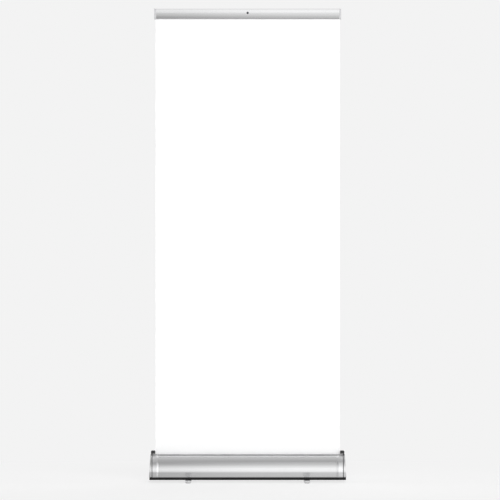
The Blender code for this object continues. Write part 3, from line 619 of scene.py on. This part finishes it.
for label, sign in (("left", -1), ("right", 1)):
    xs = [410.3 + (COLLAR_END - 410.3) * i / 28 for i in range(29)]
    rows = [(sign * x, cassette_path(bead(x), count=36, front_start=TRIM_AND_SHADE_REACH["front"] + 2.6,
                                     rear_start=TRIM_AND_SHADE_REACH["rear"] + 2.0)) for x in xs]
    if sign < 0:
        rows.reverse()
    place(skin(label + "_sleeve", rows, 2.2), "base", M_COLLAR, "polished", label + "_collar", angle=40.0)

    away = "X" if sign > 0 else "-X"
    lo, hi = sorted((sign * END_PLATE[0], sign * END_PLATE[1]))
    plate = extruded(label + "_plate", cassette_outline(0.7, SHELL_BOTTOM), lo, hi)
    ear = [(END_PLATE[1] - 0.4, 116.0), (END_PLATE[1] - 0.4, 129.0), (EAR_OUT - 1.0, 129.0), (EAR_OUT, 130.0),
           (EAR_OUT, EAR_TOP - 6.0)]
    for i in range(1, 13):
        t = math.radians(90 * i / 12)
        ear.append((EAR_OUT - 6.0 + 6.0 * math.cos(t), EAR_TOP - 6.0 + 6.0 * math.sin(t)))
    ear += [(429.0, EAR_TOP), (427.8, EAR_TOP - 0.23), (426.9, EAR_TOP - 0.9), (426.23, EAR_TOP - 1.8), (426.0, EAR_TOP - 3.0), (426.0, 131.0), (426.44, 130.24), (427.5, 129.8),
            (END_PLATE[0] + 0.4, 129.8), (END_PLATE[0] + 0.4, 116.0)]
    horn = extruded(label + "_ear", [(sign * x, z) for x, z in ear], -13.0, 13.0, along="Y")
    bevel(horn, 0.9, 3, 40)
    horn = settle(horn)
    boolean(plate, horn, "UNION")
    boolean(plate, rod(label + "_cut_axle", 4.4, (sign * 436.0, ROLLER_Y, ROLLER_Z), 8.0, axis=away, sides=32))
    for z in (104.0, 31.0):
        boolean(plate, rod(label + "_cut_plate", 2.3, (sign * 436.0, 0, z), 8.0, axis=away, sides=24))
    place(plate, "base", M_BLACK, "black_plastic", label + "_end_plate", angle=35.0)

    def lean(z):
        share = min(1.0, max(0.0, (z - SHELL_BOTTOM) / (SHELL_TOP - SHELL_BOTTOM)))
        return 454.5 + (448.0 - 454.5) * share ** 0.8

    lo, hi = sorted((sign * CAP_START, sign * 454.5))
    cap = extruded(label + "_cap", cassette_outline(0.9, SHELL_BOTTOM), lo, hi)
    spin = cap.matrix_world.copy()
    back = spin.inverted()
    for v in cap.data.vertices:
        p = spin @ v.co
        if abs(p.x) > (CAP_START + 1.0) * MM:
            p.x = sign * (lean(p.z / MM) - 0.08) * MM
            v.co = back @ p
    bevel(cap, 1.6, 4, 50)
    for z in (104.0, 31.0):
        seat = lean(z) - 2.6
        boolean(cap, rod(label + "_cut_seat", 4.7, (sign * seat, 0, z), 12.0, axis=away, sides=40))
        boolean(cap, rod(label + "_cut_cap", 2.3, (sign * 438.0, 0, z), 18.0, axis=away, sides=24))
    place(cap, "base", M_CAP, "aluminium", label + "_end_cap", angle=30.0)

    for where, z in (("upper", 104.0), ("lower", 31.0)):
        seat = lean(z) - 2.6
        head = turned(label + "_" + where + "_cap_screw",
                      [(0.0, 2.3), (1.2, 2.29), (2.2, 2.2), (3.0, 1.98), (3.6, 1.6), (4.0, 1.05), (4.1, 0.6), (4.1, 0.3),
                       (2.0, 0.3), (2.0, -16.0), (1.2, -17.5), (0.0, -17.5)], (sign * seat, 0, z), axis=away, steps=40)
        boolean(head, rod(label + where + "_cut_key", 1.7, (sign * (seat + 1.0), 0, z), 3.0, axis=away, sides=6))
        place(head, "base", M_ZINC, "steel", label + "_cap_screw_" + where)

# ---- top rail -------------------------------------------------------------------
def rail_path(grow=0.0, lip=1.5, count=40):
    high = RAIL_FLAT_Z - RAIL_BOTTOM + grow
    deep = RAIL_FRONT + grow
    first = math.asin((lip - BANNER_Y) / deep)
    pts = []
    for i in range(count + 1):
        t = first + (math.pi / 2 - first) * i / count
        pts.append((-deep * math.sin(t), RAIL_FLAT_Z - high * math.cos(t)))
    rear, top, bottom = RAIL_REAR + grow, RAIL_TOP + grow, RAIL_BOTTOM - grow
    for i in range(13):
        t = math.radians(180 - 90 * i / 12)
        pts.append((-deep + 1.1 + 1.1 * math.cos(t), top - 1.1 + 1.1 * math.sin(t)))
    for i in range(13):
        t = math.radians(90 - 90 * i / 12)
        pts.append((rear - 2.0 + 2.0 * math.cos(t), top - 2.0 + 2.0 * math.sin(t)))
    for i in range(9):
        t = math.radians(-90 * i / 8)
        pts.append((rear - 3.0 + 3.0 * math.cos(t), bottom + 3.0 + 3.0 * math.sin(t)))
    pts.append((lip + BANNER_Y, bottom))
    return pts


rail_half = RAIL_HI.x
rail = skin("rail", [(-rail_half, rail_path()), (rail_half, rail_path())], 1.6)
boolean(rail, rod("cut_rail_screw", 2.3, (0, -30, CATCH_Z), 60, axis="Y", sides=32))
place(rail, "rail", M_RAIL, "aluminium", "rail_profile", angle=22.0)

for label, sign in (("left", -1), ("right", 1)):
    lo, hi = sorted((sign * RCAP_LO.x, sign * RCAP_HI.x))
    end = extruded(label + "_rail_end", rail_path(0.9), lo, hi)
    bevel(end, 1.2, 4, 50)
    lo, hi = sorted((sign * (RCAP_LO.x - 5.0), sign * (rail_half + GAP)))
    boolean(end, extruded(label + "_cut_pocket", rail_path(0.3), lo, hi))
    boolean(end, box(label + "_cut_slot", (lo, -1.3, RAIL_BOTTOM - 10), (hi, 2.4, RAIL_BOTTOM + 6)))
    place(end, "rail", M_RCAP, "grey_plastic", label + "_rail_cap", angle=30.0)

catch = extruded("catch", [(11.4, 2122.3), (48.0, 2122.3), (49.5, 2124.0), (49.5, 2145.0), (44.0, 2151.0), (22.0, 2152.0),
                           (20.0, 2153.2), (18.9, 2154.6), (18.5, 2156.0), (18.5, 2172.0), (17.0, 2174.0), (11.4, 2174.0)],
                 -16.0, 16.0)
bevel(catch, 1.5, 4, 60)
boolean(catch, rod("cut_catch_bore", 7.4, (0, POLE_Y, 2110.0), 35.5, sides=64))
boolean(catch, rod("cut_catch_screw", 2.3, (0, 0, CATCH_Z), 40, axis="Y", sides=32))
place(catch, "rail", M_BLACK, "black_plastic", "pole_catch", angle=35.0)

dot = turned("catch_button", [(0.0, 3.0), (1.4, 2.98), (2.6, 2.84), (3.6, 2.52), (4.4, 1.98), (4.95, 1.25), (5.2, 0.5),
                              (5.2, 0.0), (2.0, 0.0), (2.0, -35.2), (1.4, -36.0), (0.0, -36.0)],
             (0, -(RAIL_FRONT + 0.3), CATCH_Z), axis="-Y", steps=48)
boolean(dot, rod("cut_catch_key", 1.8, (0, -(RAIL_FRONT + 0.3) - 1.6, CATCH_Z), 3.0, axis="-Y", sides=6))
place(dot, "rail", M_OXIDE, "black_steel", "catch_screw")

# ---- banner ---------------------------------------------------------------------
def sheet_offset(x, z):
    """How far the film stands off its plane (mm): slow, shallow waves that die out at the
    slot and at the rail, and a faint inward cup at the two long edges."""
    up = (z - 140.0) / (RAIL_BOTTOM - 20.0 - 140.0)
    if up <= 0.0 or up >= 1.0:
        return 0.0
    fade = min(1.0, up / 0.08, (1.0 - up) / 0.08)
    fade = fade * fade * (3 - 2 * fade)
    wave = noise.noise(Vector((x / 420.0, 0.3, z / 760.0))) * 1.5
    wave += noise.noise(Vector((x / 150.0 + 9.0, 4.0, z / 900.0))) * 0.45
    edge = (abs(x) / SHEET_HI.x) ** 10
    return fade * (wave + 0.9 * edge)


bm = bmesh.new()
cols, rows = 68, 168
grid = []
for j in range(rows + 1):
    z = SHEET_LO.z + (SHEET_HI.z - SHEET_LO.z) * j / rows
    grid.append([bm.verts.new(((x := SHEET_LO.x + (SHEET_HI.x - SHEET_LO.x) * i / cols) * MM,
                               (BANNER_Y + sheet_offset(x, z)) * MM, z * MM)) for i in range(cols + 1)])
for a, b in zip(grid, grid[1:]):
    for i in range(cols):
        bm.faces.new((a[i], a[i + 1], b[i + 1], b[i]))
sheet = mesh_object("banner", bm)
mod = sheet.modifiers.new("film", "SOLIDIFY")
mod.thickness = 0.4 * MM
mod.offset = 0.0
sheet = place(sheet, "base", M_FILM, "banner_film", "banner_sheet", angle=40.0)
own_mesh(sheet)


# ---- pole -----------------------------------------------------------------------
def tube(name, lo, hi, inner, body, node):
    outer = hi.x
    profile = [(outer - 0.5, hi.z), (outer - 0.15, hi.z - 0.12), (outer, hi.z - 0.5), (outer, lo.z + 0.5),
               (outer - 0.15, lo.z + 0.12), (outer - 0.5, lo.z), (inner, lo.z), (inner, hi.z)]
    return place(turned(name, profile, (0, POLE_Y, 0), steps=72, ring=True), body, M_TUBE, "aluminium", node)


tube("lower_tube", LOWER_LO, LOWER_HI, 11.3, "base", "pole_lower_tube")
tube("middle_tube", MIDDLE_LO, MIDDLE_HI, 9.8, "pole_middle", "pole_middle_tube")
tube("top_tube", TOP_LO, TOP_HI, 8.4, "pole_top", "pole_top_tube")


def lock(name, radius, lower_bore, upper_bore, span, step_z, body, node):
    outline = []
    for i in range(160):
        t = 2 * math.pi * i / 160
        r = radius + 0.75 * math.cos(10 * t)
        outline.append((r * math.cos(t), r * math.sin(t)))
    grip = extruded(name, outline, span[0], span[1], along="Z")
    grip.location.y = POLE_Y * MM
    bevel(grip, 1.2, 4, 60)
    rib = box(name + "_cut_rib", (-3.0, POLE_Y + radius - 3.0, span[0] + 6.0), (3.0, POLE_Y + radius + 2.6, span[1] - 6.0), 1.0, 4)
    boolean(grip, rib, "UNION")
    boolean(grip, rod(name + "_cut_bore", upper_bore, (0, POLE_Y, span[0] - 5), span[1] - span[0] + 10, sides=72))
    boolean(grip, rod(name + "_cut_seat", lower_bore, (0, POLE_Y, span[0] - 5), step_z - span[0] + 5, sides=72))
    place(grip, body, M_BLACK, "black_plastic", node, angle=35.0)


lock("lower_grip", 17.0, LOWER_HI.x + GAP, MIDDLE_HI.x + GAP, (744.0, 806.0), LOWER_HI.z + GAP, "lower_lock", "lower_lock_collar")
lock("upper_grip", 15.3, MIDDLE_HI.x + GAP, TOP_HI.x + GAP, (1420.0, 1479.0), MIDDLE_HI.z + GAP, "upper_lock", "upper_lock_collar")

# ---- feet -----------------------------------------------------------------------
for label, sign in (("left", -1), ("right", 1)):
    x = sign * FOOT_X
    bar = extruded(label + "_bar", stadium(FOOT_HI.y, (FOOT_HI.x - FOOT_LO.x) / 2, 28), FOOT_LO.z, FOOT_HI.z, along="Z")
    bar.location.x = x * MM
    bevel(bar, 1.5, 4, 50)
    boolean(bar, rod(label + "_cut_pivot", 4.4, (x, 0, -2), 14, sides=48))
    boolean(bar, rod(label + "_cut_head", 7.9, (x, 0, -2), 7.6, sides=48))
    place(bar, label + "_foot", M_FOOT, "aluminium", label + "_foot_bar", angle=35.0)
    for where, y in (("front", -142.0), ("rear", 142.0)):
        pad = extruded("%s_%s_rest" % (label, where), stadium(20.0, 10.5, 24), 0.0, 2.0, along="Z")
        pad.location.x = x * MM
        pad.location.y = y * MM
        bevel(pad, 0.5, 3, 50)
        place(pad, label + "_foot", M_RUBBER, "rubber", "%s_foot_%s_pad" % (label, where), angle=35.0)

for ob in [o for o in bpy.data.objects if o.get("cutter")]:
    bpy.data.objects.remove(ob, do_unlink=True)

# ---- stage ----------------------------------------------------------------------
BACKDROP = 0.896


def emission(tree, colour, strength):
    node = tree.nodes.new("ShaderNodeEmission")
    node.inputs["Color"].default_value = (*colour, 1.0)
    node.inputs["Strength"].default_value = strength
    return node


bm = bmesh.new()
bmesh.ops.create_grid(bm, x_segments=1, y_segments=1, size=60.0)
me = bpy.data.meshes.new("studio_floor")
bm.to_mesh(me)
bm.free()
floor = bpy.data.objects.new("studio_floor", me)
SCENE.collection.objects.link(floor)
mat = bpy.data.materials.new("studio_floor")
mat.use_nodes = True
tree = mat.node_tree
bsdf = tree.nodes["Principled BSDF"]
bsdf.inputs["Base Color"].default_value = (0.28, 0.28, 0.28, 1.0)
bsdf.inputs["Emission Color"].default_value = (1.0, 1.0, 1.0, 1.0)
bsdf.inputs["Emission Strength"].default_value = 0.66
bsdf.inputs["Roughness"].default_value = 0.9
bsdf.inputs["Specular IOR Level"].default_value = 0.1
coord = tree.nodes.new("ShaderNodeTexCoord")
length = tree.nodes.new("ShaderNodeVectorMath")
length.operation = "LENGTH"
tree.links.new(coord.outputs["Object"], length.inputs[0])
fade = tree.nodes.new("ShaderNodeMapRange")
fade.interpolation_type = "SMOOTHSTEP"
fade.inputs["From Min"].default_value = 0.7
fade.inputs["From Max"].default_value = 2.6
tree.links.new(length.outputs["Value"], fade.inputs["Value"])
mixed = tree.nodes.new("ShaderNodeMixShader")
tree.links.new(fade.outputs["Result"], mixed.inputs["Fac"])
tree.links.new(bsdf.outputs["BSDF"], mixed.inputs[1])
tree.links.new(emission(tree, (1.0, 1.0, 1.0), BACKDROP).outputs[0], mixed.inputs[2])
tree.links.new(mixed.outputs[0], tree.nodes["Material Output"].inputs["Surface"])
me.materials.append(mat)
floor.visible_glossy = False

# ---- light ----------------------------------------------------------------------
# A tall soft studio: brightest at eye height, darker overhead, lighter again at the top.
SKY = [(-90, 0.46), (-41, 0.45), (-27, 0.52), (-17, 0.68), (-10, 0.69), (-5, 0.82), (0, 1.06), (7, 1.10), (12, 1.00),
       (17, 0.87), (22, 0.73), (28, 0.56), (33, 0.45), (39, 0.43), (48, 0.53), (60, 0.57), (68, 0.63), (79, 0.74), (90, 0.56)]
world = bpy.data.worlds.new("studio")
SCENE.world = world
world.use_nodes = True
tree = world.node_tree
tree.nodes.clear()
coord = tree.nodes.new("ShaderNodeTexCoord")
split = tree.nodes.new("ShaderNodeSeparateXYZ")
tree.links.new(coord.outputs["Generated"], split.inputs[0])
asin = tree.nodes.new("ShaderNodeMath")
asin.operation = "ARCSINE"
tree.links.new(split.outputs["Z"], asin.inputs[0])
unit = tree.nodes.new("ShaderNodeMapRange")
unit.inputs["From Min"].default_value = -math.pi / 2
unit.inputs["From Max"].default_value = math.pi / 2
tree.links.new(asin.outputs[0], unit.inputs["Value"])
ramp = tree.nodes.new("ShaderNodeValToRGB")
ramp.color_ramp.interpolation = "LINEAR"
tree.links.new(unit.outputs["Result"], ramp.inputs["Fac"])
stops = ramp.color_ramp.elements
for i, (deg, level) in enumerate(SKY):
    at = (deg + 90.0) / 180.0
    if i == 0:
        stop = stops[0]
    elif i == len(SKY) - 1:
        stop = stops[len(stops) - 1]
    else:
        stop = stops.new(at)
    stop.position = at
    stop.color = (level, level, level, 1.0)
around = tree.nodes.new("ShaderNodeBackground")
tree.links.new(ramp.outputs["Color"], around.inputs["Color"])
around.inputs["Strength"].default_value = 1.0
dim = tree.nodes.new("ShaderNodeBackground")
tree.links.new(ramp.outputs["Color"], dim.inputs["Color"])
dim.inputs["Strength"].default_value = 0.58

seen = tree.nodes.new("ShaderNodeBackground")
seen.inputs["Color"].default_value = (BACKDROP, BACKDROP, BACKDROP, 1.0)
path = tree.nodes.new("ShaderNodeLightPath")
both = tree.nodes.new("ShaderNodeMixShader")
tree.links.new(path.outputs["Is Camera Ray"], both.inputs["Fac"])
lit = tree.nodes.new("ShaderNodeMixShader")
tree.links.new(path.outputs["Is Diffuse Ray"], lit.inputs["Fac"])
tree.links.new(around.outputs[0], lit.inputs[1])
tree.links.new(dim.outputs[0], lit.inputs[2])
tree.links.new(lit.outputs[0], both.inputs[1])
tree.links.new(seen.outputs[0], both.inputs[2])
out = tree.nodes.new("ShaderNodeOutputWorld")
tree.links.new(both.outputs[0], out.inputs["Surface"])

sun = bpy.data.lights.new("front_soft", "SUN")
sun.energy = 1.52
sun.angle = math.radians(35)
key = bpy.data.objects.new("front_soft", sun)
SCENE.collection.objects.link(key)
key.rotation_euler = (math.radians(62), 0.0, math.radians(8))
key.visible_glossy = False
fill = bpy.data.lights.new("rear_soft", "SUN")
fill.energy = 0.9
fill.angle = math.radians(50)
back_light = bpy.data.objects.new("rear_soft", fill)
SCENE.collection.objects.link(back_light)
back_light.rotation_euler = (math.radians(-55), 0.0, math.radians(-12))
back_light.visible_glossy = False

# A tall soft card at the front, dark at its left end, gives the metal its falloff from
# right to left. It adds light and hides nothing.
bm = bmesh.new()
bmesh.ops.create_grid(bm, x_segments=1, y_segments=1, size=0.5)
bmesh.ops.scale(bm, vec=(9.0, 3.7, 1.0), verts=bm.verts)
me = bpy.data.meshes.new("front_card")
bm.to_mesh(me)
bm.free()
card = bpy.data.objects.new("front_card", me)
SCENE.collection.objects.link(card)
card.location = (0.0, -2.5, 0.55)
card.rotation_euler = (math.radians(90.0), 0.0, 0.0)
mat = bpy.data.materials.new("front_card")
mat.use_nodes = True
tree = mat.node_tree
tree.nodes.clear()
coord = tree.nodes.new("ShaderNodeTexCoord")
split = tree.nodes.new("ShaderNodeSeparateXYZ")
tree.links.new(coord.outputs["Object"], split.inputs[0])
along = tree.nodes.new("ShaderNodeMapRange")
along.inputs["From Min"].default_value = -0.50
along.inputs["From Max"].default_value = 0.45
along.inputs["To Min"].default_value = 1.0
along.inputs["To Max"].default_value = 0.0
tree.links.new(split.outputs["X"], along.inputs["Value"])
curve = tree.nodes.new("ShaderNodeMath")
curve.operation = "POWER"
curve.inputs[1].default_value = 2.3
tree.links.new(along.outputs["Result"], curve.inputs[0])
level = tree.nodes.new("ShaderNodeMath")
level.operation = "MULTIPLY_ADD"
level.inputs[1].default_value = -0.28
level.inputs[2].default_value = 0.28
tree.links.new(curve.outputs[0], level.inputs[0])
glow = emission(tree, (1.0, 1.0, 1.0), 0.28)
tree.links.new(level.outputs[0], glow.inputs["Strength"])
clear = tree.nodes.new("ShaderNodeBsdfTransparent")
added = tree.nodes.new("ShaderNodeAddShader")
tree.links.new(glow.outputs[0], added.inputs[0])
tree.links.new(clear.outputs[0], added.inputs[1])
out = tree.nodes.new("ShaderNodeOutputMaterial")
tree.links.new(added.outputs[0], out.inputs["Surface"])
me.materials.append(mat)
card.visible_camera = False
card.visible_shadow = False

# ---- camera ---------------------------------------------------------------------
lens = bpy.data.cameras.new("camera")
lens.sensor_width = 36.0
lens.lens = 400.0
lens.clip_end = 200.0
camera = bpy.data.objects.new("camera", lens)
SCENE.collection.objects.link(camera)
camera.location = (0.0108, -25.62, 1.069)
camera.rotation_euler = (math.radians(90.0), 0.0, 0.0)
SCENE.camera = camera
SCENE.view_settings.view_transform = "Standard"
SCENE.view_settings.look = "None"
